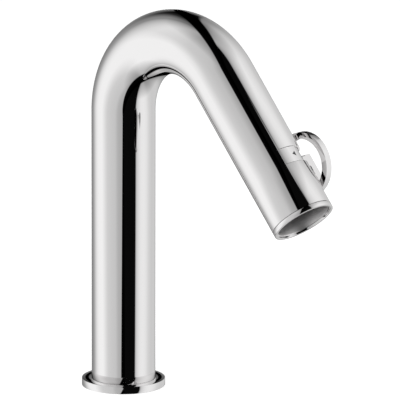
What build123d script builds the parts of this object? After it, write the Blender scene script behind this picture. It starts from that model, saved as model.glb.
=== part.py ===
from build123d import *
import math
import os

# Single lever basin mixer: a bent tube on a round flange, with a loop handle beside the spout.
# Row frame: origin on the column's axis at the deck, +Z up, the spout reaches towards +X,
# and the handle stands on the +Y side. Lengths are millimetres, angles are degrees.

# Bent tube
TUBE_OD = 38.0
TUBE_WALL = 1.5
COLUMN_H = 168.0
BEND_R = 47.7
SPOUT_DROP = 48.7
SPOUT_L = 100.0
OUTLET_RIM_L = 3.0
TUBE_R = TUBE_OD / 2
BORE_R = TUBE_R - TUBE_WALL
TUBE_END = SPOUT_L - OUTLET_RIM_L

# Fits between pieces, and how far a cutting shape runs past a face
RUN_FIT = 0.05
FACE_GAP = 0.3
SLIDE_FIT = 0.1
SEAM_GAP = 0.15
OUTLET_SEAM = 0.3
OVER = 1.0

# Flange and gasket on the deck
FLANGE_D = 49.7
FLANGE_T = 4.5
FLANGE_EDGE = 0.3
GASKET_W = 2.0
GASKET_T = 1.2
GASKET_INSET = 2.0

# Brass plug in the column's foot, with its ports
PLUG_H = 34.0
PORT_Y = 6.5
INLET_THREAD_R = 4.45
INLET_DEPTH = 11.0
PASSAGE_R = 2.2
STUD_R = 3.4
STUD_DEPTH = 18.0
STUD_X = 10.5
FILTER_R = 3.9
FILTER_T = 1.0
FILTER_HOLES = 6
FILTER_HOLE_R = 0.6
FILTER_HOLE_PLACE = 2.4

# Supply tubes inside the shell
SUPPLY_R = 4.0
SUPPLY_WALL = 1.0
SOCKET_DEPTH = 10.0
SEAL_CORD = 1.4
SEAL_DEPTH = 1.0
SEAL_LIP = 2.0

# Valve block, in distances along the spout from the end of the bend
BLOCK_TOP = 8.0
BLOCK_END = 46.0
PORT_SEAL_T = 1.2
PORT_SEAL_W = 0.8
BODY_SEAL_GROOVE = 1.2
BODY_SEAL_W = 2.0

# Ceramic discs and their carrier
SEAT_R = 13.5
FIXED_DISC_T = 4.0
SEAT_RECESS = 3.0
MOVING_DISC_R = 9.0
MOVING_DISC_T = 3.0
DISC_PORT_PLACE = 6.0
DISC_PORT_SPREAD = 32.0
MIX_SLOT_HALF = 2.5
MIX_SLOT_L = 5.6
DOWEL_R = 1.0
DOWEL_L = 4.0
DOWEL_PLACE = 11.2
CARRIER_R = 11.5
CARRIER_HALF = 9.0
CARRIER_T = 7.0
CARRIER_WINDOW = 5.0
PEG_R = 1.0
PEG_L = 1.2
PEG_PLACE = 6.2

# Handle: the loop, its bar and the neck that leaves the spout
HANDLE_PLACE = 64.2
LOOP_OD = 38.0
LOOP_BAND = 3.7
LOOP_W = 4.1
LOOP_FACE = 23.4
BAR_T = 7.6
BOSS_START = 20.6
BAR_END_ROUND = 1.0
LOOP_EDGE = 0.25
NECK_R = 3.8
NECK_START = 14.6
GRUB_R = 2.0
GRUB_L = 1.2
GRUB_BACK = 2.6
GRUB_HEX = 2.0
GRUB_HEX_DEPTH = 0.6

# Slot around the spout and the index plate that closes its near end
SLOT_W = 10.0
SWING = 60.0
SLOT_LOW = -16.5
PLATE_SPAN = 37.5
MARK_BASE = 3.2
MARK_TALL = 2.5
MARK_DEPTH = 0.25
MARK_OFFSET = 2.6

# Mixing drum that turns inside the spout and carries the spindle
DRUM_END = 74.0
DRUM_BORE_R = 11.0
GUIDE_R = 15.2
GUIDE_DEPTH = 11.0
DRUM_SEAL_IN = 1.8

# Spindle with its crank, and the bushes that it turns in
SPINDLE_R = 2.5
SPINDLE_OUT = 25.2
BUSH_R = 4.0
BUSH_IN = 9.0
BUSH_L = 4.5
CRANK_ARM = 9.5
FLOW_TURN = 25.0
CRANK_T = 5.0
CRANK_BALL_R = 2.2
CRANK_STEM_R = 1.6
CRANK_HUB_R = 3.5
CRANK_SLOT_FIT = 0.35
NECK_SEAL_W = 1.4
NECK_SEAL_R = 5.0
NECK_SEAL_START = 14.8

# Outlet: holder, aerator and rim
THRUST_T = 1.0
THRUST_W = 4.0
HOLDER_L = 9.0
AERATOR_R = 10.5
AERATOR_FLANGE_R = 11.8
AERATOR_FLANGE_T = 1.6
AERATOR_CELL = 1.1
AERATOR_PITCH = 3.4
AERATOR_CORE = 2.0
HOLDER_LIP = 1.5
WASHER_T = 1.5
WASHER_W = 2.2
SPIGOT_WALL = 1.1
RIM_WALL = 1.8
RIM_RECESS = 1.4
SPIGOT_L = 9.0
RIM_EDGE = 0.25

# Places that follow from the sizes above
FILTER_END = INLET_DEPTH + FILTER_T
BEND_SWEEP = 90.0 + SPOUT_DROP
SWEEP = math.radians(BEND_SWEEP)
DROP = math.radians(SPOUT_DROP)
BEND_END = Vector(BEND_R * (1 - math.cos(SWEEP)), 0, COLUMN_H + BEND_R * math.sin(SWEEP))
FLOW_DIR = Vector(math.cos(DROP), 0, -math.sin(DROP))
SPOUT = Plane(origin=BEND_END, x_dir=(0, 1, 0), z_dir=FLOW_DIR)
SLOT_HIGH = SWING - SLOT_LOW
SLOT_TOP = HANDLE_PLACE - SLOT_W / 2
SLOT_BOTTOM = HANDLE_PLACE + SLOT_W / 2
DISC_SEAT = BLOCK_END - SEAT_RECESS
FIXED_TOP = DISC_SEAT + FIXED_DISC_T
MOVING_TOP = FIXED_TOP + RUN_FIT
CARRIER_START = MOVING_TOP + MOVING_DISC_T
CARRIER_END = CARRIER_START + CARRIER_T
DISC_TRAVEL = CRANK_ARM * math.radians(FLOW_TURN)
DISC_PORT_MIDDLE = SWING / 2 - 90
COLD = 1
HOT = -1
DRUM_R = BORE_R - RUN_FIT
DRUM_TOP = FIXED_TOP + FACE_GAP
CRANK_TIP = HANDLE_PLACE - CRANK_ARM
LOOP_R = LOOP_OD / 2
LOOP_HOLE_R = LOOP_R - LOOP_BAND
LOOP_FAR = LOOP_FACE + LOOP_W
GRUB_PLACE = SPINDLE_OUT - GRUB_BACK
BUSH_OUT = BUSH_IN + BUSH_L
THRUST_TOP = DRUM_END + RUN_FIT
HOLDER_TOP = THRUST_TOP + THRUST_T
HOLDER_END = HOLDER_TOP + HOLDER_L


def rod(radius, start, end, x=0.0, y=0.0):
    """A cylinder along the local Z axis between two places."""
    return Pos(x, y, (start + end) / 2) * Cylinder(radius, end - start)


def ring(outer, inner, start, end, x=0.0, y=0.0):
    """A plain ring along the local Z axis."""
    return rod(outer, start, end, x, y) - rod(inner, start - OVER, end + OVER, x, y)


def cross_rod(radius, start, end, place):
    """A cylinder along the local X axis, at a distance along the spout."""
    return Pos((start + end) / 2, 0, place) * Rot(0, 90, 0) * Cylinder(radius, end - start)


def block(x0, x1, y0, y1, z0, z1):
    """A box between two corners."""
    return Pos((x0 + x1) / 2, (y0 + y1) / 2, (z0 + z1) / 2) * Box(x1 - x0, y1 - y0, z1 - z0)


def ring_sector(outer, inner, start, end, low, high):
    """A piece of a ring between two angles, counted from local X towards local Y."""
    section = Plane.XZ * Pos((outer + inner) / 2, (start + end) / 2) * Rectangle(outer - inner, end - start)
    return Rot(0, 0, low) * revolve(section, Axis.Z, high - low)


def bent_rod(radius, side, foot, tip):
    """A round rod that follows the column, the bend and the spout at a sideways offset."""
    column = Pos(0, side, (foot + COLUMN_H) / 2) * Cylinder(radius, COLUMN_H - foot)
    section = Plane(origin=(0, side, COLUMN_H)) * Circle(radius)
    bend = revolve(section, Axis((BEND_R, 0, COLUMN_H), (0, 1, 0)), BEND_SWEEP)
    spout = SPOUT * rod(radius, 0, tip, x=side)
    return column + bend + spout


def spout_tube():
    """The shell: column, bend and spout in one tube, with the slot for the handle's neck."""
    shell = bent_rod(TUBE_R, 0, 0, TUBE_END) - bent_rod(BORE_R, 0, -OVER, TUBE_END + OVER)
    slot = ring_sector(TUBE_R + OVER, BORE_R - OVER, SLOT_TOP, SLOT_BOTTOM, SLOT_LOW, SLOT_HIGH + PLATE_SPAN)
    return shell - SPOUT * slot


def base_flange():
    """The round flange around the column's foot, with a groove for its gasket."""
    disc = ring(FLANGE_D / 2, TUBE_R, 0, FLANGE_T)
    rims = disc.edges().filter_by(GeomType.CIRCLE).group_by(SortBy.RADIUS)[-1]
    disc = chamfer(rims, FLANGE_EDGE)
    groove_r = FLANGE_D / 2 - GASKET_INSET
    return disc - ring(groove_r, groove_r - GASKET_W, -OVER, GASKET_T)


def base_gasket():
    """The flat rubber ring in the flange's groove."""
    groove_r = FLANGE_D / 2 - GASKET_INSET
    return ring(groove_r, groove_r - GASKET_W, 0, GASKET_T)


def base_plug():
    """The brass plug in the column's foot: two threaded inlets, two sockets and the stud hole."""
    plug = rod(BORE_R, 0, PLUG_H)
    for side in (-PORT_Y, PORT_Y):
        plug -= rod(INLET_THREAD_R, -OVER, INLET_DEPTH, y=side)
        plug -= rod(FILTER_R, INLET_DEPTH - OVER, FILTER_END, y=side)
        plug -= rod(PASSAGE_R, FILTER_END - OVER, PLUG_H - SOCKET_DEPTH + OVER, y=side)
        plug -= rod(SUPPLY_R, PLUG_H - SOCKET_DEPTH, PLUG_H + OVER, y=side)
        plug -= socket_seal(PLUG_H - SEAL_LIP - SEAL_CORD, side)
    return plug - rod(STUD_R, -OVER, STUD_DEPTH, x=STUD_X)


def socket_seal(start, side):
    """One rubber ring around a supply tube, in the frame of the column."""
    return ring(SUPPLY_R + SEAL_DEPTH, SUPPLY_R, start, start + SEAL_CORD, y=side)


def block_seal(side):
    """One rubber ring around a supply tube, in the frame of the spout."""
    start = BLOCK_TOP + SEAL_LIP
    return ring(SUPPLY_R + SEAL_DEPTH, SUPPLY_R, start, start + SEAL_CORD, x=side)


def inlet_filters():
    """Two perforated strainers in the seats behind the threaded inlets."""
    parts = []
    for side in (-PORT_Y, PORT_Y):
        disc = rod(FILTER_R, INLET_DEPTH, FILTER_END, y=side)
        for turn in range(FILTER_HOLES):
            angle = math.tau * turn / FILTER_HOLES
            hole_x = FILTER_HOLE_PLACE * math.cos(angle)
            hole_y = side + FILTER_HOLE_PLACE * math.sin(angle)
            disc -= rod(FILTER_HOLE_R, INLET_DEPTH - OVER, FILTER_END + OVER, hole_x, hole_y)
        parts.append(disc)
    return Compound(children=parts)


def supply_tube(side):
    """One supply tube from the plug to the valve block, inside the shell."""
    foot = PLUG_H - SOCKET_DEPTH
    tip = BLOCK_TOP + SOCKET_DEPTH
    return bent_rod(SUPPLY_R, side, foot, tip) - bent_rod(SUPPLY_R - SUPPLY_WALL, side, foot - OVER, tip + OVER)


def supply_seals():
    """The four rubber rings at the ends of the two supply tubes."""
    parts = []
    for side in (-PORT_Y, PORT_Y):
        parts.append(socket_seal(PLUG_H - SEAL_LIP - SEAL_CORD, side))
        parts.append(SPOUT * block_seal(side))
    return Compound(children=parts)


def disc_port(supply):
    """Where a supply meets the discs: the cold port opens with the handle raised, the hot one at rest."""
    angle = math.radians(DISC_PORT_MIDDLE + supply * DISC_PORT_SPREAD)
    return DISC_PORT_PLACE * math.cos(angle), DISC_PORT_PLACE * math.sin(angle)


def passage(supply):
    """The slanted bore from a supply's socket to its port at the discs, in the frame of the spout."""
    x, y = disc_port(supply)
    foot = Vector(supply * PORT_Y, 0, BLOCK_TOP + SOCKET_DEPTH - OVER)
    run = Vector(x, y, DISC_SEAT) - foot
    return Plane(origin=foot, z_dir=run) * rod(PASSAGE_R, 0, run.length)


def valve_block():
    """The brass block that brings both supplies to the ceramic seat."""
    body = rod(BORE_R, BLOCK_TOP, BLOCK_END)
    for supply in (COLD, HOT):
        x, y = disc_port(supply)
        body -= rod(SUPPLY_R, BLOCK_TOP - OVER, BLOCK_TOP + SOCKET_DEPTH, x=supply * PORT_Y)
        body -= passage(supply)
        body -= block_seal(supply * PORT_Y)
        body -= rod(PASSAGE_R + PORT_SEAL_W, DISC_SEAT - PORT_SEAL_T, DISC_SEAT + OVER, x, y)
        body -= rod(DOWEL_R, DISC_SEAT - DOWEL_L / 2, DISC_SEAT + OVER, y=supply * DOWEL_PLACE)
    body -= rod(SEAT_R, DISC_SEAT, BLOCK_END + OVER)
    return SPOUT * (body - body_seal_ring())


def body_seal_ring():
    """The rubber ring around the valve block, in the frame of the spout."""
    middle = (BLOCK_TOP + BLOCK_END) / 2
    return ring(BORE_R, BORE_R - BODY_SEAL_GROOVE, middle - BODY_SEAL_W / 2, middle + BODY_SEAL_W / 2)


def port_seals():
    """Two rubber rings between the block's ports and the fixed disc."""
    parts = []
    for supply in (COLD, HOT):
        x, y = disc_port(supply)
        parts.append(SPOUT * ring(PASSAGE_R + PORT_SEAL_W, PASSAGE_R, DISC_SEAT - PORT_SEAL_T, DISC_SEAT, x, y))
    return Compound(children=parts)


def seat_dowels():
    """Two pins that stop the fixed disc from turning on the block."""
    parts = []
    for side in (-DOWEL_PLACE, DOWEL_PLACE):
        parts.append(SPOUT * rod(DOWEL_R, DISC_SEAT - DOWEL_L / 2, DISC_SEAT + DOWEL_L / 2, y=side))
    return Compound(children=parts)


def fixed_disc():
    """The lower ceramic disc with its two ports, held on the block."""
    disc = rod(SEAT_R, DISC_SEAT, FIXED_TOP)
    for supply in (COLD, HOT):
        disc -= rod(PASSAGE_R, DISC_SEAT - OVER, FIXED_TOP + OVER, *disc_port(supply))
        disc -= rod(DOWEL_R, DISC_SEAT - OVER, DISC_SEAT + DOWEL_L / 2, y=supply * DOWEL_PLACE)
    return SPOUT * disc


def moving_disc():
    """The upper ceramic disc, which slides and turns on the fixed one, with its mixing slot."""
    disc = rod(MOVING_DISC_R, MOVING_TOP, CARRIER_START)
    half = MIX_SLOT_L / 2
    disc -= block(-half, half, -MIX_SLOT_HALF, MIX_SLOT_HALF, MOVING_TOP - OVER, CARRIER_END)
    return SPOUT * (disc - carrier_pegs())


def carrier_pegs():
    """The two pegs that key the carrier to the moving disc, in the frame of the spout."""
    pegs = rod(PEG_R, CARRIER_START - PEG_L, CARRIER_START, y=PEG_PLACE)
    return pegs + rod(PEG_R, CARRIER_START - PEG_L, CARRIER_START, y=-PEG_PLACE)


def disc_carrier():
    """The sliding carrier behind the moving disc: its window holds the crank's ball and lets water by."""
    half = CARRIER_HALF
    body = rod(CARRIER_R, CARRIER_START, CARRIER_END)
    body &= block(-half, half, -half, half, CARRIER_START, CARRIER_END)
    wide = CARRIER_WINDOW
    slot = CRANK_BALL_R + CRANK_SLOT_FIT
    body -= block(-wide, wide, -slot, slot, CARRIER_START - OVER, CARRIER_END + OVER)
    return SPOUT * (body + carrier_pegs())


def mixing_drum():
    """The drum that turns in the spout, with the carrier's guide and the spindle's bearings."""
    drum = rod(DRUM_R, DRUM_TOP, DRUM_END) - rod(DRUM_BORE_R, DRUM_TOP + GUIDE_DEPTH - OVER, DRUM_END + OVER)
    side = CARRIER_HALF + SLIDE_FIT
    far = CARRIER_HALF + FACE_GAP
    guide = block(-side, side, -far - DISC_TRAVEL, far, DRUM_TOP - OVER, DRUM_TOP + GUIDE_DEPTH)
    drum -= guide & rod(GUIDE_R, DRUM_TOP - OVER, DRUM_TOP + GUIDE_DEPTH)
    drum -= cross_rod(BUSH_R, -BUSH_OUT, BUSH_OUT, HANDLE_PLACE)
    drum -= cross_rod(NECK_SEAL_R, BUSH_OUT, DRUM_R + OVER, HANDLE_PLACE)
    drum -= drum_seal(DRUM_TOP + DRUM_SEAL_IN)
    drum -= drum_seal(DRUM_END - DRUM_SEAL_IN - BODY_SEAL_W)
    return SPOUT * drum


def drum_seal(start):
    """One rubber ring in a groove of the drum, in the frame of the spout."""
    return ring(DRUM_R, DRUM_R - BODY_SEAL_GROOVE, start, start + BODY_SEAL_W)


def drum_seals():
    """The two rubber rings that run in the spout's bore."""
    upper = SPOUT * drum_seal(DRUM_TOP + DRUM_SEAL_IN)
    lower = SPOUT * drum_seal(DRUM_END - DRUM_SEAL_IN - BODY_SEAL_W)
    return Compound(children=[upper, lower])


def spindle_bushes():
    """The two plastic bushes that the spindle turns in."""
    parts = []
    for side in (-1, 1):
        ends = sorted((side * BUSH_IN, side * BUSH_OUT))
        bush = cross_rod(BUSH_R, *ends, HANDLE_PLACE)
        parts.append(SPOUT * (bush - cross_rod(SPINDLE_R + RUN_FIT, -DRUM_R, DRUM_R, HANDLE_PLACE)))
    return Compound(children=parts)


def neck_seal():
    """The rubber ring in the drum around the handle's neck."""
    end = NECK_SEAL_START + NECK_SEAL_W
    seal = cross_rod(NECK_SEAL_R, NECK_SEAL_START, end, HANDLE_PLACE)
    return SPOUT * (seal - cross_rod(NECK_R + RUN_FIT, BUSH_OUT, end + OVER, HANDLE_PLACE))


def crank_spindle():
    """The spindle across the drum, with the crank and the ball that shifts the carrier."""
    spindle = cross_rod(SPINDLE_R, -BUSH_OUT, SPINDLE_OUT, HANDLE_PLACE)
    spindle += cross_rod(CRANK_HUB_R, -CRANK_T / 2, CRANK_T / 2, HANDLE_PLACE)
    spindle += rod(CRANK_STEM_R, CRANK_TIP, HANDLE_PLACE)
    spindle += Pos(0, 0, CRANK_TIP) * Sphere(CRANK_BALL_R)
    return SPOUT * spindle


def loop_handle():
    """The loop, a slice of the same tube, with its bar, boss and round neck in one casting."""
    turn = Pos(0, 0, HANDLE_PLACE) * Rot(0, 90, 0)
    band = turn * ring(LOOP_R, LOOP_HOLE_R, LOOP_FACE, LOOP_FAR)
    rims = band.edges().filter_by(GeomType.CIRCLE)
    band = chamfer(rims, LOOP_EDGE)
    half = BAR_T / 2
    top = HANDLE_PLACE - half
    reach = HANDLE_PLACE + LOOP_HOLE_R + LOOP_BAND / 2
    bar = block(LOOP_FACE, LOOP_FAR, -half, half, HANDLE_PLACE, reach)
    boss = block(BOSS_START, LOOP_FAR, -half, half, top, HANDLE_PLACE + half)
    ends = boss.edges().filter_by(Axis.X).group_by(Axis.Z)[0]
    boss = fillet(ends, BAR_END_ROUND)
    neck = cross_rod(NECK_R, NECK_START, BOSS_START + OVER, HANDLE_PLACE)
    handle = band + bar + boss + neck
    handle -= cross_rod(SPINDLE_R, NECK_START - OVER, SPINDLE_OUT, HANDLE_PLACE)
    handle -= rod(GRUB_R, top - OVER, HANDLE_PLACE, x=GRUB_PLACE)
    return SPOUT * handle


def grub_screw():
    """The small hexagon socket screw that clamps the handle on the spindle."""
    end = HANDLE_PLACE - SPINDLE_R
    screw = rod(GRUB_R, end - GRUB_L, end, x=GRUB_PLACE)
    flat = Plane(origin=(GRUB_PLACE, 0, end - GRUB_L)) * RegularPolygon(GRUB_HEX / 2, 6, major_radius=False)
    return SPOUT * (screw - extrude(flat, GRUB_HEX_DEPTH))


def index_plate():
    """The curved plate that closes the slot's near end, with a pocket for the mark."""
    high = SLOT_HIGH + PLATE_SPAN
    plate = ring_sector(TUBE_R, BORE_R, SLOT_TOP + SEAM_GAP, SLOT_BOTTOM - SEAM_GAP, SLOT_HIGH, high)
    return SPOUT * (plate - mark_inlay())


def mark_inlay():
    """The triangular index mark, as deep as its pocket all over, in the frame of the spout."""
    middle = SLOT_HIGH + PLATE_SPAN / 2
    skin = ring(TUBE_R, TUBE_R - MARK_DEPTH, SLOT_TOP, SLOT_BOTTOM)
    face = Plane(origin=(TUBE_R + OVER, 0, HANDLE_PLACE), x_dir=(0, 1, 0), z_dir=(1, 0, 0))
    base = -MARK_TALL / 2 - MARK_OFFSET
    corners = [(base, -MARK_BASE / 2), (base + MARK_TALL, 0), (base, MARK_BASE / 2)]
    outline = face * make_face(Polyline(*corners, close=True))
    return (Rot(0, 0, middle) * extrude(outline, -MARK_DEPTH - 2 * OVER)) & skin


def index_mark():
    """The dark mark in the plate's pocket."""
    return SPOUT * mark_inlay()


def thrust_ring():
    """The slippery ring that the drum turns against."""
    return SPOUT * ring(BORE_R, BORE_R - THRUST_W, THRUST_TOP, HOLDER_TOP)


def aerator_holder():
    """The brass holder of the aerator, fixed in the spout's bore."""
    body = rod(BORE_R, HOLDER_TOP, HOLDER_END)
    body -= rod(AERATOR_R - WASHER_W, HOLDER_TOP - OVER, HOLDER_TOP + HOLDER_LIP + OVER)
    body -= rod(AERATOR_R, HOLDER_TOP + HOLDER_LIP, HOLDER_END + OVER)
    return SPOUT * body


def aerator_washer():
    """The flat rubber washer behind the aerator."""
    start = HOLDER_TOP + HOLDER_LIP
    return SPOUT * ring(AERATOR_R, AERATOR_R - WASHER_W, start, start + WASHER_T)


def aerator_insert():
    """The aerator: a threaded cup with a grid of square cells at its mouth."""
    start = HOLDER_TOP + HOLDER_LIP + WASHER_T
    mouth = HOLDER_END + AERATOR_FLANGE_T
    cup = rod(AERATOR_R, start, HOLDER_END) + rod(AERATOR_FLANGE_R, HOLDER_END, mouth)
    cells = int((AERATOR_R - AERATOR_CORE) / AERATOR_PITCH)
    for column in range(-cells, cells + 1):
        for row in range(-cells, cells + 1):
            x = column * AERATOR_PITCH
            y = row * AERATOR_PITCH
            if math.hypot(x, y) < AERATOR_R - AERATOR_CORE:
                cup -= block(x - AERATOR_CELL, x + AERATOR_CELL, y - AERATOR_CELL, y + AERATOR_CELL,
                             start - OVER, mouth + OVER)
    return SPOUT * cup


def outlet_ring():
    """The polished rim at the outlet with its spigot in the spout's bore."""
    rim = ring(TUBE_R, TUBE_R - RIM_WALL, TUBE_END + OUTLET_SEAM, SPOUT_L)
    edges = rim.edges().filter_by(GeomType.CIRCLE).group_by(Axis.Z)[-1]
    rim = chamfer(edges, RIM_EDGE)
    spigot = ring(BORE_R, BORE_R - SPIGOT_WALL, TUBE_END - SPIGOT_L, SPOUT_L - RIM_RECESS)
    return SPOUT * (rim + spigot)


PARTS = {
    "spout_tube": spout_tube,
    "base_flange": base_flange,
    "base_gasket": base_gasket,
    "base_plug": base_plug,
    "inlet_filters": inlet_filters,
    "supply_tube_cold": lambda: supply_tube(COLD * PORT_Y),
    "supply_tube_hot": lambda: supply_tube(HOT * PORT_Y),
    "supply_seals": supply_seals,
    "valve_block": valve_block,
    "block_seal": lambda: SPOUT * body_seal_ring(),
    "port_seals": port_seals,
    "seat_dowels": seat_dowels,
    "fixed_disc": fixed_disc,
    "moving_disc": moving_disc,
    "disc_carrier": disc_carrier,
    "mixing_drum": mixing_drum,
    "drum_seals": drum_seals,
    "spindle_bushes": spindle_bushes,
    "neck_seal": neck_seal,
    "crank_spindle": crank_spindle,
    "loop_handle": loop_handle,
    "grub_screw": grub_screw,
    "index_plate": index_plate,
    "index_mark": index_mark,
    "thrust_ring": thrust_ring,
    "aerator_holder": aerator_holder,
    "aerator_washer": aerator_washer,
    "aerator_insert": aerator_insert,
    "outlet_ring": outlet_ring,
}

os.makedirs("parts", exist_ok=True)
for name, make in PARTS.items():
    export_step(make(), f"parts/{name}.step")
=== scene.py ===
"""Looks of a single lever basin mixer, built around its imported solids.

A bent chrome tube stands on a thin round flange. A loop handle stands beside its spout, and a
slot in the tube's wall, closed at one end by a flat plate, lets the handle swing.
"""

import logging
import math
from collections.abc import Callable, Iterator, Mapping
from contextlib import contextmanager
from dataclasses import dataclass, field
from enum import Enum

import bmesh
import bpy
from mathutils import Matrix, Vector


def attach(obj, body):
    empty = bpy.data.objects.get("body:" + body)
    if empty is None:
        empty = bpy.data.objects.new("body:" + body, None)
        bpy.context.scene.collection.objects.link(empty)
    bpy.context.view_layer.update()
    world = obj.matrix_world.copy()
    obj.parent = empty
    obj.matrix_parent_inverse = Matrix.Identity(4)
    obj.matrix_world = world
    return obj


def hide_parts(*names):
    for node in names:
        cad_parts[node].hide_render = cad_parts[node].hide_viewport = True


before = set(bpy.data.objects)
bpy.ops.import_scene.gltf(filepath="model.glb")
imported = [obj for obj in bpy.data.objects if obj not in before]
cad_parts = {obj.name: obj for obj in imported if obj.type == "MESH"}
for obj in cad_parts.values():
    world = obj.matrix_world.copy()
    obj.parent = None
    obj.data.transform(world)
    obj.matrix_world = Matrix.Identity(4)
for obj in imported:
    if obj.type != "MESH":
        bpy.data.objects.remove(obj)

LOG = logging.getLogger("basin_mixer")
MM = 0.001


class Body(Enum):
    """The bodies that pieces ride on."""

    SHELL = "mixer_body"
    DRUM = "mixing_unit"
    HANDLE = "handle"


class Element(Enum):
    """What edit mode selects."""

    VERT = "verts"
    EDGE = "edges"
    FACE = "faces"


# Nodes and colours


def linear(hex_colour: str) -> tuple[float, float, float, float]:
    """Turns an sRGB hex colour to linear light.

    Args:
        hex_colour: Six hex digits after a hash sign.

    Returns:
        Red, green, blue and an alpha of 1.
    """
    parts = [int(hex_colour[i : i + 2], 16) / 255 for i in (1, 3, 5)]
    light = [p / 12.92 if p <= 0.04045 else ((p + 0.055) / 1.055) ** 2.4 for p in parts]
    return light[0], light[1], light[2], 1.0


def grey(level: float) -> tuple[float, float, float, float]:
    """A neutral linear colour of one level."""
    return level, level, level, 1.0


def add_node(
    tree: bpy.types.NodeTree,
    kind: str,
    inputs: Mapping[str | int, object] | None = None,
    **settings: object,
) -> bpy.types.Node:
    """Adds one shader node with its settings, values and links.

    Args:
        tree: The node tree that takes the node.
        kind: The node's type, without the ShaderNode prefix.
        inputs: Socket name or number to a value, or to the output that feeds it.
        settings: The node's own properties.

    Returns:
        The new node.
    """
    node = tree.nodes.new("ShaderNode" + kind)
    for name, value in settings.items():
        setattr(node, name, value)
    for key, value in (inputs or {}).items():
        if isinstance(value, bpy.types.NodeSocket):
            tree.links.new(value, node.inputs[key])
        else:
            node.inputs[key].default_value = value
    return node


def per_metre(size_mm: float) -> float:
    """The texture scale that draws a feature of this size on Object coordinates."""
    return 1.0 / (size_mm * MM)


# Finishes


@dataclass(frozen=True)
class Finish:
    """A plain surface. Its subclasses add the pattern that the real one shows."""

    name: str
    colour: str
    roughness: float
    metallic: float = 0.0

    def material(self) -> bpy.types.Material:
        """Makes the material once, and gives the same one on later calls."""
        known = bpy.data.materials.get(self.name)
        if known is not None:
            return known
        made = bpy.data.materials.new(self.name)
        made.use_nodes = True
        tree = made.node_tree
        shader = tree.nodes["Principled BSDF"]
        shader.inputs["Base Color"].default_value = linear(self.colour)
        shader.inputs["Metallic"].default_value = self.metallic
        shader.inputs["Roughness"].default_value = self.roughness
        place = add_node(tree, "TexCoord").outputs["Object"]
        self.pattern(tree, shader, place)
        return made

    def pattern(self, tree: bpy.types.NodeTree, shader: bpy.types.Node, place: bpy.types.NodeSocket) -> None:
        """Draws nothing on a plain surface."""

    def vary_roughness(
        self, tree: bpy.types.NodeTree, shader: bpy.types.Node, place: bpy.types.NodeSocket, size_mm: float, spread: float
    ) -> None:
        """Lets the roughness drift over the surface.

        Args:
            tree: The material's node tree.
            shader: Its shader.
            place: The coordinates that the pattern reads.
            size_mm: How wide one patch is.
            spread: How far the roughness drifts above its lowest value.
        """
        patches = add_node(tree, "TexNoise", {"Vector": place, "Scale": per_metre(size_mm), "Detail": 4.0})
        ends = {"Value": patches.outputs["Fac"], "From Min": 0.35, "From Max": 0.65}
        ends |= {"To Min": self.roughness, "To Max": self.roughness + spread}
        drift = add_node(tree, "MapRange", ends)
        tree.links.new(drift.outputs["Result"], shader.inputs["Roughness"])

    def bump(
        self, tree: bpy.types.NodeTree, shader: bpy.types.Node, height: bpy.types.NodeSocket, depth_mm: float
    ) -> None:
        """Raises the surface by a pattern's height, up to a depth in millimetres."""
        lift = add_node(tree, "Bump", {"Height": height, "Distance": depth_mm * MM, "Strength": 1.0})
        tree.links.new(lift.outputs["Normal"], shader.inputs["Normal"])


@dataclass(frozen=True)
class ChromePlate(Finish):
    """Bright chrome over nickel, buffed before plating: a mirror with the faintest buffing haze."""

    haze_mm: float = 14.0
    haze: float = 0.02

    def pattern(self, tree: bpy.types.NodeTree, shader: bpy.types.Node, place: bpy.types.NodeSocket) -> None:
        """The haze of wiping and buffing, which softens a reflection in places."""
        self.vary_roughness(tree, shader, place, self.haze_mm, self.haze)


@dataclass(frozen=True)
class TurnedMetal(Finish):
    """Metal from the lathe: fine rings about its axis catch the light as a soft fan."""

    ring_mm: float = 0.5
    depth_mm: float = 0.004

    def pattern(self, tree: bpy.types.NodeTree, shader: bpy.types.Node, place: bpy.types.NodeSocket) -> None:
        """Tool rings, drawn coarser than the real ones so that they show."""
        scale = per_metre(self.ring_mm) / 20
        rings = add_node(
            tree,
            "TexWave",
            {"Vector": place, "Scale": scale, "Distortion": 0.4, "Detail": 1.0},
            wave_type="RINGS",
            rings_direction="Z",
        )
        self.bump(tree, shader, rings.outputs["Fac"], self.depth_mm)
        self.vary_roughness(tree, shader, place, 3.0, 0.12)


@dataclass(frozen=True)
class Moulded(Finish):
    """Moulded rubber, plastic or pressed ceramic: a matt skin with a fine grain."""

    grain_mm: float = 0.4
    depth_mm: float = 0.01
    fleck: str = "#000000"
    fleck_share: float = 0.15

    def pattern(self, tree: bpy.types.NodeTree, shader: bpy.types.Node, place: bpy.types.NodeSocket) -> None:
        """The skin's grain, with a slow drift of colour under it."""
        grain = add_node(tree, "TexNoise", {"Vector": place, "Scale": per_metre(self.grain_mm), "Detail": 3.0})
        self.bump(tree, shader, grain.outputs["Fac"], self.depth_mm)
        drift = add_node(tree, "TexNoise", {"Vector": place, "Scale": per_metre(self.grain_mm * 12), "Detail": 2.0})
        ends = {"Value": drift.outputs["Fac"], "From Min": 0.4, "From Max": 0.7, "To Max": self.fleck_share}
        share = add_node(tree, "MapRange", ends).outputs["Result"]
        mixed = add_node(tree, "Mix", {"Factor": share}, data_type="RGBA")
        mixed.inputs[6].default_value = linear(self.colour)
        mixed.inputs[7].default_value = linear(self.fleck)
        tree.links.new(mixed.outputs[2], shader.inputs["Base Color"])


# Bright chrome on drawn brass tube: a near perfect mirror, a shade cooler than steel.
SHELL_CHROME = ChromePlate("shell_chrome_plate", "#f0efef", 0.012, 1.0)
# Chrome on turned brass rings and the pressed plate: the same mirror, cut by crisp edges.
TRIM_CHROME = ChromePlate("trim_chrome_plate", "#f0efef", 0.02, 1.0, 9.0, 0.02)
# Chrome on the zinc casting of the handle: a little softer than on the tube.
HANDLE_CHROME = ChromePlate("handle_chrome_plate", "#efeeee", 0.025, 1.0, 7.0, 0.03)
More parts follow.
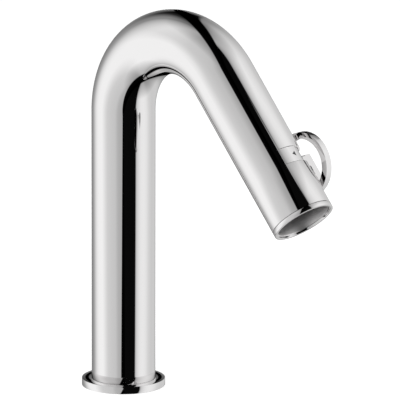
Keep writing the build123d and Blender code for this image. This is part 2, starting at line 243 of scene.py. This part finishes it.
# Chrome inside the outlet, plated on an unbuffed bore: a satin sheen with no clear image.
SATIN_CHROME = ChromePlate("satin_bore_chrome", "#efeeee", 0.38, 1.0, 5.0, 0.05)
# Free-cutting brass as it leaves the lathe: warm yellow with tool rings.
BRASS = TurnedMetal("turned_brass", "#c8a463", 0.24, 1.0)
# Stainless steel bar, turned: grey and brighter than the brass, with finer rings.
STEEL = TurnedMetal("turned_stainless", "#b9babc", 0.2, 1.0, 0.35, 0.003)
# Punched stainless strainer: the same steel, duller from rolling.
STRAINER = TurnedMetal("rolled_strainer_steel", "#a5a6a8", 0.35, 1.0, 0.3, 0.003)
# EPDM rubber rings: matt black with a faint grey bloom.
RUBBER = Moulded("moulded_epdm", "#1b1b1c", 0.72, 0.0, 0.3, 0.008, "#2c2c2d", 0.5)
# Cross-linked polyethylene tube: waxy, milky and slightly warm.
PEX = Moulded("drawn_pex", "#dcd8ca", 0.42, 0.0, 0.8, 0.004, "#cfc9b6", 0.5)
# Lapped alumina: dense cream white that is almost polished.
ALUMINA = Moulded("lapped_alumina", "#e9e5dc", 0.16, 0.0, 0.15, 0.001, "#dad4c6", 0.4)
# Moulded acetal: dense white plastic with a dull skin.
ACETAL = Moulded("moulded_acetal", "#e6e4dd", 0.38, 0.0, 0.25, 0.004, "#d7d4ca", 0.4)
# Moulded ABS of the aerator: dark grey with a fine spark-eroded grain.
ABS = Moulded("moulded_abs", "#2f3032", 0.45, 0.0, 0.2, 0.006, "#3b3c3f", 0.4)
# Enamel filled into the mark's pocket: near black and slightly glossy.
ENAMEL = Moulded("filled_enamel", "#2a2b2d", 0.3, 0.0, 0.3, 0.002, "#39393c", 0.4)


# The bench: edit-mode tools used as by hand


def deselect() -> None:
    """Deselects every object."""
    bpy.ops.object.select_all(action="DESELECT")


def take_new(name: str) -> bpy.types.Object:
    """Names the primitive just added, and puts its place into its mesh.

    Args:
        name: The piece's name.

    Returns:
        The piece, with its object at the origin.
    """
    piece = bpy.context.active_object
    piece.name = name
    piece.data.name = name
    bpy.ops.object.transform_apply(location=True, rotation=True, scale=True)
    return piece


def hold(piece: bpy.types.Object) -> None:
    """Makes one piece the only selected and the active one."""
    deselect()
    piece.select_set(True)
    bpy.context.view_layer.objects.active = piece


@contextmanager
def editing(piece: bpy.types.Object, element: Element) -> Iterator[None]:
    """Edit mode on one piece with nothing selected."""
    hold(piece)
    bpy.ops.object.mode_set(mode="EDIT")
    bpy.ops.mesh.select_mode(type=element.name)
    bpy.ops.mesh.select_all(action="DESELECT")
    yield
    bpy.ops.object.mode_set(mode="OBJECT")


def pick(piece: bpy.types.Object, element: Element, test: Callable[[Vector], bool]) -> int:
    """Selects what lies in the right place, and nothing else.

    Args:
        piece: The piece in edit mode.
        element: Whether vertices, edges or faces are tested.
        test: Says of a middle point whether it is wanted.

    Returns:
        How many were selected.
    """
    bpy.ops.mesh.select_mode(type=element.name)
    bpy.ops.mesh.select_all(action="DESELECT")
    mesh = bmesh.from_edit_mesh(piece.data)
    count = 0
    for item in getattr(mesh, element.value):
        if element is Element.VERT:
            middle = item.co
        elif element is Element.EDGE:
            middle = (item.verts[0].co + item.verts[1].co) / 2
        else:
            middle = item.calc_center_median()
        if test(middle):
            item.select_set(True)
            count += 1
    mesh.select_flush_mode()
    bmesh.update_edit_mesh(piece.data)
    return count


def pull(step: Vector) -> None:
    """Extrudes the selection and moves it by a step."""
    bpy.ops.mesh.extrude_region_move(TRANSFORM_OT_translate={"value": tuple(step)})


def finish_with(piece: bpy.types.Object, kind: str, **settings: object) -> None:
    """Adds one modifier with its settings and applies it."""
    hold(piece)
    modifier = piece.modifiers.new(kind.title(), kind)
    for name, value in settings.items():
        setattr(modifier, name, value)
    bpy.ops.object.modifier_apply(modifier=modifier.name)


def unite(piece: bpy.types.Object, other: bpy.types.Object, operation: str = "UNION") -> None:
    """Joins another solid to a piece, or cuts it away, and removes the other."""
    finish_with(piece, "BOOLEAN", object=other, operation=operation, solver="EXACT")
    bpy.data.objects.remove(other)


def soften(piece: bpy.types.Object, degrees: float) -> None:
    """Shades smooth across edges that turn less than an angle."""
    hold(piece)
    bpy.ops.object.shade_smooth_by_angle(angle=math.radians(degrees))


def ease_edges(piece: bpy.types.Object, width_mm: float, degrees: float = 50.0) -> None:
    """Rounds sharp edges by a width, as buffing leaves them."""
    finish_with(
        piece,
        "BEVEL",
        width=width_mm * MM,
        segments=2,
        limit_method="ANGLE",
        angle_limit=math.radians(degrees),
        harden_normals=False,
    )


def settle(piece: bpy.types.Object, finish: Finish, body: Body, slot: str, *nodes: str) -> None:
    """Gives a piece its finish and its body, and hides the nodes that it stands for.

    Args:
        piece: The finished piece.
        finish: Its finish.
        body: The body that it rides on.
        slot: The record's material slot; not used.
        nodes: The CAD nodes that it stands for.
    """
    piece.data.materials.clear()
    piece.data.materials.append(finish.material())
    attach(piece, body.value)
    if nodes:
        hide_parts(*nodes)
    LOG.info("%s: %d faces, stands for %s", piece.name, len(piece.data.polygons), nodes)


def dress(node: str, finish: Finish) -> None:
    """Gives a CAD node its finish."""
    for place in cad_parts[node].material_slots:
        place.material = finish.material()
    LOG.info("%s: %s", node, finish.name)


@dataclass(frozen=True)
class SpoutLine:
    """The tube's centre line and the spout's own directions, in millimetres and degrees."""

    column_h: float = 168.0
    bend_r: float = 47.7
    drop: float = 48.7
    spout_l: float = 100.0

    @property
    def sweep(self) -> float:
        """The bend's angle in radians."""
        return math.radians(90 + self.drop)

    @property
    def flow(self) -> Vector:
        """The direction from the bend to the outlet."""
        drop = math.radians(self.drop)
        return Vector((math.cos(drop), 0, -math.sin(drop)))

    @property
    def up(self) -> Vector:
        """Square to the spout, upwards and forwards."""
        drop = math.radians(self.drop)
        return Vector((math.sin(drop), 0, math.cos(drop)))

    @property
    def bend_centre(self) -> Vector:
        """The middle of the bend."""
        return Vector((self.bend_r, 0, self.column_h)) * MM

    @property
    def bend_end(self) -> Vector:
        """Where the spout's straight run starts."""
        x = self.bend_r * (1 - math.cos(self.sweep))
        z = self.column_h + self.bend_r * math.sin(self.sweep)
        return Vector((x, 0, z)) * MM

    def at(self, place: float, side: float = 0.0, up: float = 0.0) -> Vector:
        """A point beside the spout's line.

        Args:
            place: Distance along the spout.
            side: Distance towards the handle.
            up: Distance above the line.

        Returns:
            The point in metres.
        """
        return self.bend_end + (self.flow * place + Vector((0, side, 0)) + self.up * up) * MM

    def place_of(self, point: Vector) -> float:
        """How far along the spout a point lies."""
        return (point - self.bend_end).dot(self.flow) / MM

    def angle_of(self, point: Vector) -> float:
        """A point's angle about the spout, from the handle's side upwards, in degrees."""
        away = point - self.bend_end
        return math.degrees(math.atan2(away.dot(self.up), away.y))

    def radius_of(self, point: Vector) -> float:
        """A point's distance from the spout's line."""
        away = point - self.bend_end
        return (away - self.flow * away.dot(self.flow)).length / MM

    def turn(self) -> Matrix:
        """The turn that lays a primitive's Z axis along the spout and keeps its X towards the handle."""
        side = Vector((0, 1, 0))
        return Matrix((side, self.up, self.flow)).transposed()


LINE = SpoutLine()


@dataclass
class BentTube:
    """The shell: column, bend and spout in one tube, with the handle's slot."""

    radius: float = 19.0
    wall: float = 1.5
    end: float = 97.0
    slot_from: float = 58.95
    slot_to: float = 69.12
    slot_low: float = -16.5
    slot_high: float = 114.0
    sides: int = 240
    bend_steps: int = 92
    edge: float = 0.12

    def build(self) -> None:
        """Pulls the tube along its line, opens the slot and gives it its wall."""
        tube = self.pull_tube()
        self.open_slot(tube)
        finish_with(tube, "SOLIDIFY", thickness=self.wall * MM, offset=-1.0, use_even_offset=True)
        ease_edges(tube, self.edge)
        soften(tube, 30)
        settle(tube, SHELL_CHROME, Body.SHELL, "chrome_shell", "spout_tube")

    def pull_tube(self) -> bpy.types.Object:
        """Extrudes a ring up the column, spins it round the bend and pulls the spout.

        Returns:
            The tube's outer skin.
        """
        deselect()
        bpy.ops.mesh.primitive_circle_add(vertices=self.sides, radius=self.radius * MM, fill_type="NOTHING")
        tube = take_new("bent_tube")
        top = LINE.column_h * MM
        with editing(tube, Element.VERT):
            pick(tube, Element.VERT, lambda point: True)
            pull(Vector((0, 0, top)))
            pick(tube, Element.VERT, lambda point: point.z > top - MM)
            bpy.ops.mesh.spin(
                steps=self.bend_steps, angle=LINE.sweep, center=LINE.bend_centre, axis=(0, -1, 0), use_auto_merge=False
            )
            done = 0.0
            for place in (self.slot_from, self.slot_to, self.end):
                pick(tube, Element.VERT, lambda point: self.on_section(point, done))
                pull(LINE.flow * (place - done) * MM)
                done = place
            bpy.ops.mesh.select_all(action="SELECT")
            bpy.ops.mesh.remove_doubles(threshold=0.01 * MM)
            bpy.ops.mesh.normals_make_consistent(inside=False)
        return tube

    @staticmethod
    def on_section(point: Vector, place: float) -> bool:
        """Whether a vertex lies on the spout's section at a place."""
        near = abs(LINE.place_of(point) - place) < 0.01
        return near and LINE.radius_of(point) < 25

    def open_slot(self, tube: bpy.types.Object) -> None:
        """Deletes the skin where the slot goes round the spout."""
        with editing(tube, Element.FACE):
            count = pick(tube, Element.FACE, self.in_slot)
            bpy.ops.mesh.delete(type="FACE")
        LOG.info("slot opened over %d faces", count)

    def in_slot(self, point: Vector) -> bool:
        """Whether a face of the skin lies in the slot."""
        along = self.slot_from < LINE.place_of(point) < self.slot_to
        near = LINE.radius_of(point) < 25
        return along and near and self.slot_low < LINE.angle_of(point) < self.slot_high


@dataclass
class FootFlange:
    """The thin round flange at the deck, with the groove of its gasket underneath."""

    radius: float = 24.85
    bore: float = 19.0
    height: float = 4.5
    groove_out: float = 22.85
    groove_in: float = 20.85
    groove_deep: float = 1.2
    edge: float = 0.3
    sides: int = 240

    def build(self) -> None:
        """Turns the flange from a disc, and dresses what is under it."""
        flange = self.turn_disc()
        ease_edges(flange, self.edge)
        soften(flange, 30)
        settle(flange, TRIM_CHROME, Body.SHELL, "chrome_trim", "base_flange")
        dress("base_gasket", RUBBER)
        dress("base_plug", BRASS)
        dress("inlet_filters", STRAINER)

    def turn_disc(self) -> bpy.types.Object:
        """Insets both faces of a disc, opens the bore and sinks the groove.

        Returns:
            The flange.
        """
        deselect()
        middle = (0, 0, self.height * MM / 2)
        bpy.ops.mesh.primitive_cylinder_add(
            vertices=self.sides, radius=self.radius * MM, depth=self.height * MM, location=middle
        )
        flange = take_new("foot_flange")
        with editing(flange, Element.FACE):
            pick(flange, Element.FACE, lambda point: point.z > (self.height - 0.1) * MM)
            bpy.ops.mesh.inset(thickness=(self.radius - self.bore) * MM)
            pick(flange, Element.FACE, lambda point: point.z < 0.1 * MM)
            for step in (self.radius - self.groove_out, self.groove_out - self.groove_in, self.groove_in - self.bore):
                bpy.ops.mesh.inset(thickness=step * MM)
            pick(flange, Element.FACE, lambda point: point.xy.length < MM)
            bpy.ops.mesh.bridge_edge_loops()
            pick(flange, Element.FACE, self.in_groove)
            pull(Vector((0, 0, self.groove_deep * MM)))
        return flange

    def in_groove(self, point: Vector) -> bool:
        """Whether a face under the flange lies in the gasket's groove."""
        return point.z < 0.1 * MM and self.groove_in < point.xy.length / MM < self.groove_out


@dataclass
class OutletRim:
    """The polished rim at the outlet and the aerator behind it."""

    radius: float = 19.0
    start: float = 97.3
    end: float = 100.0
    lip: float = 17.2
    step: float = 98.6
    spigot: float = 17.5
    bore: float = 16.4
    inner_end: float = 88.0
    edge: float = 0.22
    sides: int = 240

    def build(self) -> None:
        """Turns the rim, and dresses the pieces inside the outlet."""
        rim = self.turn_rim()
        ease_edges(rim, self.edge)
        soften(rim, 30)
        settle(rim, TRIM_CHROME, Body.SHELL, "chrome_trim", "outlet_ring")
        self.dull_bore(rim)
        for node, finish in (("aerator_holder", TRIM_CHROME), ("aerator_washer", RUBBER), ("aerator_insert", ABS)):
            dress(node, finish)
        dress("thrust_ring", ACETAL)

    def dull_bore(self, rim: bpy.types.Object) -> None:
        """Gives the bore behind the lip its satin finish."""
        rim.data.materials.append(SATIN_CHROME.material())
        for face in rim.data.polygons:
            if LINE.radius_of(face.center) < self.bore + 0.2:
                face.material_index = 1

    def turn_rim(self) -> bpy.types.Object:
        """Insets and sinks both ends of a short disc until only the rim and its spigot are left.

        Returns:
            The rim.
        """
        deselect()
        bpy.ops.mesh.primitive_cylinder_add(
            vertices=self.sides,
            radius=self.radius * MM,
            depth=(self.end - self.start) * MM,
            location=LINE.at((self.end + self.start) / 2),
            rotation=LINE.turn().to_euler(),
        )
        rim = take_new("outlet_rim")
        with editing(rim, Element.FACE):
            pick(rim, Element.FACE, lambda point: LINE.place_of(point) > self.end - 0.01)
            bpy.ops.mesh.inset(thickness=(self.radius - self.lip) * MM)
            pull(-LINE.flow * (self.end - self.step) * MM)
            bpy.ops.mesh.inset(thickness=(self.lip - self.bore) * MM)
            pull(-LINE.flow * (self.step - self.inner_end) * MM)
            bpy.ops.mesh.delete(type="FACE")
            pick(rim, Element.FACE, lambda point: self.on_back(point))
            bpy.ops.mesh.inset(thickness=(self.radius - self.spigot) * MM)
            pull(-LINE.flow * (self.start - self.inner_end) * MM)
            bpy.ops.mesh.inset(thickness=(self.spigot - self.bore) * MM)
            bpy.ops.mesh.delete(type="FACE")
            bpy.ops.mesh.select_all(action="SELECT")
            bpy.ops.mesh.remove_doubles(threshold=0.01 * MM)
            bpy.ops.mesh.normals_make_consistent(inside=False)
        return rim

    def on_back(self, point: Vector) -> bool:
        """Whether a face is the disc's own back."""
        return abs(LINE.place_of(point) - self.start) < 0.01 and LINE.radius_of(point) < 1


@dataclass
class LoopHandle:
    """The loop, a slice of the same tube, with its bar, boss and round neck."""

    place: float = 64.2
    radius: float = 19.0
    band: float = 3.9
    near: float = 23.4
    far: float = 27.5
    bar: float = 7.6
    bar_wide: float = 9.6
    boss_near: float = 20.6
    neck: float = 3.8
    neck_start: float = 14.6
    spindle: float = 2.5
    spindle_end: float = 25.2
    edge: float = 0.25
    corner: float = 1.0
    sides: int = 192

    def build(self) -> None:
        """Slices the loop, unites its bar, boss and neck, and dresses the spindle and its screw."""
        loop = self.slice_loop()
        unite(loop, self.block("bar", self.near, -self.bar / 2, self.radius - self.band / 2))
        unite(loop, self.boss())
        unite(loop, self.post("neck", self.neck, self.neck_start, self.boss_near + 0.5))
        unite(loop, self.post("bore", self.spindle, self.neck_start - 1, self.spindle_end), "DIFFERENCE")
        ease_edges(loop, self.edge, 55)
        soften(loop, 30)
        settle(loop, HANDLE_CHROME, Body.HANDLE, "chrome_handle", "loop_handle")
        dress("crank_spindle", STEEL)
        dress("grub_screw", STEEL)

    def slice_loop(self) -> bpy.types.Object:
        """Insets both ends of a disc and bridges them.

        Returns:
            The plain loop.
        """
        loop = self.post("loop_lever", self.radius, self.near, self.far, self.sides)
        with editing(loop, Element.FACE):
            pick(loop, Element.FACE, self.on_end)
            bpy.ops.mesh.inset(thickness=self.band * MM)
            bpy.ops.mesh.bridge_edge_loops()
        return loop

    def on_end(self, point: Vector) -> bool:
        """Whether a face is one of the disc's two ends."""
        away = point - LINE.at(self.place)
        return Vector((away.x, away.z)).length < MM

    def post(self, name: str, radius: float, start: float, end: float, sides: int = 96) -> bpy.types.Object:
        """A round post square to the spout, on the handle's axis.

        Args:
            name: The piece's name.
            radius: Its radius.
            start: Where it starts, from the spout's line.
            end: Where it ends.
            sides: How many sides its circle has.

        Returns:
            The post.
        """
        deselect()
        bpy.ops.mesh.primitive_cylinder_add(
            vertices=sides,
            radius=radius * MM,
            depth=(end - start) * MM,
            location=LINE.at(self.place, (start + end) / 2),
            rotation=(math.radians(90), 0, 0),
        )
        return take_new(name)

    def block(self, name: str, near: float, top: float, bottom: float) -> bpy.types.Object:
        """A bar of the handle's width along the spout.

        Args:
            name: The piece's name.
            near: Its face on the spout's side.
            top: Where it starts, from the handle's axis along the spout.
            bottom: Where it ends.

        Returns:
            The bar.
        """
        deselect()
        middle = LINE.at(self.place + (top + bottom) / 2, (near + self.far) / 2)
        bpy.ops.mesh.primitive_cube_add(size=MM, location=middle, rotation=LINE.turn().to_euler())
        bpy.context.active_object.scale = (self.far - near, self.bar_wide, bottom - top)
        return take_new(name)

    def boss(self) -> bpy.types.Object:
        """The square boss at the handle's axis, with its two upper corners rounded.

        Returns:
            The boss.
        """
        half = self.bar / 2
        boss = self.block("boss", self.boss_near, -half, half)
        with editing(boss, Element.EDGE):
            pick(boss, Element.EDGE, self.on_upper_corner)
            bpy.ops.mesh.bevel(offset=self.corner * MM, segments=8)
        return boss

    def on_upper_corner(self, point: Vector) -> bool:
        """Whether an edge is one of the boss's two corners away from the outlet."""
        away = point - LINE.at(self.place)
        back = away.dot(LINE.flow) / MM < 0.1 - self.bar / 2
        return back and abs(away.dot(LINE.up)) / MM > self.bar_wide / 2 - 0.1


@dataclass
class IndexPlate:
    """The flat plate at the slot's near end, with its triangular mark."""

    def build(self) -> None:
        """Dresses the plate and the mark."""
        dress("index_plate", TRIM_CHROME)
        dress("index_mark", ENAMEL)


@dataclass
class MixingValve:
    """What the tube hides, and the drum that shows in the slot."""

    finishes: dict[str, Finish] = field(
        default_factory=lambda: {
            "mixing_drum": TRIM_CHROME,
            "drum_seals": RUBBER,
            "spindle_bushes": ACETAL,
            "neck_seal": RUBBER,
            "supply_tube_cold": PEX,
            "supply_tube_hot": PEX,
            "supply_seals": RUBBER,
            "valve_block": BRASS,
            "block_seal": RUBBER,
            "port_seals": RUBBER,
            "seat_dowels": STEEL,
            "fixed_disc": ALUMINA,
            "moving_disc": ALUMINA,
            "disc_carrier": ACETAL,
        }
    )

    def build(self) -> None:
        """Dresses every node of the valve."""
        for node, finish in self.finishes.items():
            dress(node, finish)


@dataclass(frozen=True)
class Card:
    """One stop of the studio's walls: a bearing to the right of the camera, and how bright it is."""

    bearing: float
    level: float


@dataclass
class Studio:
    """A white sweep with tall cards round the object: a black one beside the camera, pale ones at the sides."""

    camera_azimuth: float = 44.915
    walls: tuple[Card, ...] = (
        Card(-180, 0.2),
        Card(-156, 0.257),
        Card(-148, 0.301),
        Card(-140, 0.366),
        Card(-132, 0.493),
        Card(-124, 0.694),
        Card(-116, 0.848),
        Card(-108, 0.955),
        Card(-100, 1),
        Card(-84, 1),
        Card(-76, 0.91),
        Card(-68, 0.798),
        Card(-60, 0.709),
        Card(-46, 0.664),
        Card(-30, 0.63),
        Card(-20, 0.505),
        Card(-0.9, 0.43),
        Card(0.6, 0.003),
        Card(45.5, 0.003),
        Card(47.0, 0.48),
        Card(52, 0.702),
        Card(60, 0.84),
        Card(68, 0.91),
        Card(80, 0.928),
        Card(92, 0.883),
        Card(108, 0.733),
        Card(124, 0.665),
        Card(140, 0.664),
        Card(148, 0.66),
        Card(157, 0.6),
        Card(166, 0.45),
        Card(180, 0.2),
    )
    upper_walls: tuple[Card, ...] = (
        Card(-180, 0.003),
        Card(-171, 0.003),
        Card(-164, 0.023),
        Card(-156, 0.134),
        Card(-148, 0.248),
        Card(-140, 0.283),
        Card(-132, 0.468),
        Card(-124, 0.592),
        Card(-116, 0.702),
        Card(-108, 0.798),
        Card(-100, 0.84),
        Card(-84, 0.773),
        Card(-68, 0.671),
        Card(-36, 0.592),
        Card(-20, 0.444),
        Card(-12, 0.4),
        Card(-0.9, 0.36),
        Card(0.6, 0.003),
        Card(45.5, 0.003),
        Card(47.0, 0.36),
        Card(52, 0.525),
        Card(60, 0.686),
        Card(68, 0.773),
        Card(84, 0.892),
        Card(100, 0.919),
        Card(116, 0.848),
        Card(132, 0.749),
        Card(148, 0.599),
        Card(156, 0.487),
        Card(164, 0.32),
        Card(170, 0.25),
        Card(172.5, 0.003),
    )
    upper_from: float = 5.0
    upper_to: float = 25.0
    strip_half: float = 0.15
    strip_offset: float = 0.04
    fade_from: float = 45.0
    fade_to: float = 0.45
    floor_radius: float = 1600.0

    def build(self) -> None:
        """Sets up the walls, the floor and the soft lamp."""
        bpy.context.scene.view_settings.view_transform = "Standard"
        self.raise_walls()
        self.lay_floor()
        self.hang_lamp()

    def raise_walls(self) -> None:
        """The world: white where the camera looks past the object, and the cards where metal mirrors it."""
        world = bpy.data.worlds.new("studio_walls")
        bpy.context.scene.world = world
        world.use_nodes = True
        tree = world.node_tree
        tree.nodes.clear()
        way = add_node(tree, "TexCoord").outputs["Generated"]
        azimuth = math.radians(self.camera_azimuth)
        ahead = (math.sin(azimuth), -math.cos(azimuth), 0.0)
        right = (math.cos(azimuth), math.sin(azimuth), 0.0)
        forward = add_node(tree, "VectorMath", {0: way, 1: ahead}, operation="DOT_PRODUCT").outputs["Value"]
        sideways = add_node(tree, "VectorMath", {0: way, 1: right}, operation="DOT_PRODUCT").outputs["Value"]
        bearing = add_node(tree, "Math", {0: sideways, 1: forward}, operation="ARCTAN2").outputs["Value"]
        share = add_node(
            tree, "MapRange", {"Value": bearing, "From Min": -math.pi, "From Max": math.pi}
        ).outputs["Result"]
        height = add_node(tree, "SeparateXYZ", {0: way}).outputs["Z"]
        rise = {"Value": height, "From Min": math.sin(math.radians(self.upper_from))}
        rise |= {"From Max": math.sin(math.radians(self.upper_to))}
        lift = add_node(tree, "MapRange", rise).outputs["Result"]
        cards = add_node(tree, "Mix", {"Factor": lift}, data_type="RGBA")
        for socket, row in ((6, self.walls), (7, self.upper_walls)):
            ramp = add_node(tree, "ValToRGB", {"Fac": share})
            self.hang_cards(ramp.color_ramp, row)
            tree.links.new(ramp.outputs["Color"], cards.inputs[socket])
        steep = add_node(tree, "Math", {0: height}, operation="ABSOLUTE").outputs["Value"]
        roof = self.roof_strip(tree, sideways, steep)
        walls = add_node(tree, "Background", {"Color": cards.outputs[2], "Strength": roof})
        sweep = add_node(tree, "Background", {"Color": grey(1.0), "Strength": 1.0})
        seen = add_node(tree, "LightPath").outputs["Is Camera Ray"]
        both = add_node(tree, "MixShader", {0: seen, 1: walls.outputs[0], 2: sweep.outputs[0]})
        add_node(tree, "OutputWorld", {"Surface": both.outputs[0]})

    def roof_strip(
        self, tree: bpy.types.NodeTree, sideways: bpy.types.NodeSocket, steep: bpy.types.NodeSocket
    ) -> bpy.types.NodeSocket:
        """The dark strip overhead and underfoot, and the walls' slow fade towards it.

        Args:
            tree: The world's node tree.
            sideways: How far a direction points to the right of the camera.
            steep: How far it points up or down.

        Returns:
            The share of the walls' light that is left.
        """
        offset = add_node(tree, "Math", {0: steep, 1: self.strip_offset, 2: sideways}, operation="MULTIPLY_ADD")
        across = add_node(tree, "Math", {0: offset.outputs[0]}, operation="ABSOLUTE")
        slope = add_node(tree, "Math", {0: across.outputs[0], 1: steep}, operation="DIVIDE")
        ends = {"Value": slope.outputs[0], "From Min": self.strip_half, "From Max": self.strip_half * 1.25}
        edge = add_node(tree, "MapRange", ends | {"To Min": 0.003})
        ends = {"Value": steep, "From Min": math.sin(math.radians(self.fade_from)), "To Min": 1.0, "To Max": self.fade_to}
        fade = add_node(tree, "MapRange", ends)
        left = add_node(tree, "Math", {0: edge.outputs[0], 1: fade.outputs[0]}, operation="MULTIPLY")
        return left.outputs[0]

    @staticmethod
    def hang_cards(ramp: bpy.types.ColorRamp, cards: tuple[Card, ...]) -> None:
        """Sets the ramp's stops to the cards."""
        for index, card in enumerate(cards):
            place = (card.bearing + 180) / 360
            if index < 2:
                stop = ramp.elements[index]
                stop.position = place
            else:
                stop = ramp.elements.new(place)
            stop.color = grey(card.level)

    def lay_floor(self) -> None:
        """A white matt floor that takes the object's shadow and is left out of the mirrors."""
        deselect()
        bpy.ops.mesh.primitive_circle_add(vertices=128, radius=self.floor_radius * MM, fill_type="NGON")
        floor = take_new("studio_floor")
        floor.visible_glossy = False
        material = bpy.data.materials.new("matt_white_card")
        material.use_nodes = True
        tree = material.node_tree
        tree.nodes.clear()
        matt = add_node(tree, "BsdfDiffuse", {"Color": grey(0.72)})
        seen = add_node(tree, "LightPath").outputs["Is Camera Ray"]
        fill = add_node(tree, "Math", {0: seen, 1: 0.64}, operation="MULTIPLY").outputs["Value"]
        glow = add_node(tree, "Emission", {"Color": grey(1.0), "Strength": fill})
        both = add_node(tree, "AddShader", {0: matt.outputs[0], 1: glow.outputs[0]})
        add_node(tree, "OutputMaterial", {"Surface": both.outputs[0]})
        floor.data.materials.append(material)

    def hang_lamp(self) -> None:
        """One large soft lamp overhead, kept out of the mirrors."""
        lamp = bpy.data.lights.new("soft_lamp", "AREA")
        lamp.shape = "DISK"
        lamp.size = 1.2
        lamp.energy = 12.0
        holder = bpy.data.objects.new("soft_lamp", lamp)
        holder.location = (0.2, -0.3, 1.6)
        holder.rotation_euler = (Vector((0, 0, 0.1)) - holder.location).to_track_quat("-Z", "Y").to_euler()
        holder.visible_glossy = False
        bpy.context.scene.collection.objects.link(holder)


@dataclass
class Viewpoint:
    """The camera, fitted to the photograph: a long lens a little above the object."""

    azimuth: float = 44.9153
    elevation: float = 13.1216
    roll: float = 0.1319
    distance: float = 4522.15
    lens: float = 692.18
    aim: tuple[float, float, float] = (64.1725, 0.0, 123.4955)

    def build(self) -> None:
        """Places the camera."""
        azimuth, elevation = math.radians(self.azimuth), math.radians(self.elevation)
        level = math.cos(elevation)
        back = Vector((math.sin(azimuth) * level, -math.cos(azimuth) * level, math.sin(elevation)))
        right = Vector((math.cos(azimuth), math.sin(azimuth), 0))
        tilt = Matrix.Rotation(math.radians(self.roll), 3, back)
        right = tilt @ right
        axes = Matrix((right, back.cross(right), back)).transposed()
        data = bpy.data.cameras.new("camera")
        data.lens = self.lens
        data.sensor_width = 36.0
        data.clip_start, data.clip_end = 1.0, 20.0
        camera = bpy.data.objects.new("camera", data)
        place = (Vector(self.aim) + back * self.distance) * MM
        camera.matrix_world = Matrix.Translation(place) @ axes.to_4x4()
        bpy.context.scene.collection.objects.link(camera)
        bpy.context.scene.camera = camera


def main() -> None:
    """Builds the camera, the studio and every sub-assembly in order."""
    logging.basicConfig(level=logging.INFO, format="%(name)s %(message)s")
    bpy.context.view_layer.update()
    for part in (Viewpoint(), Studio(), BentTube(), FootFlange(), OutletRim(), LoopHandle(), IndexPlate(), MixingValve()):
        LOG.info("building %s", type(part).__name__)
        part.build()


if __name__ == "__main__":
    main()
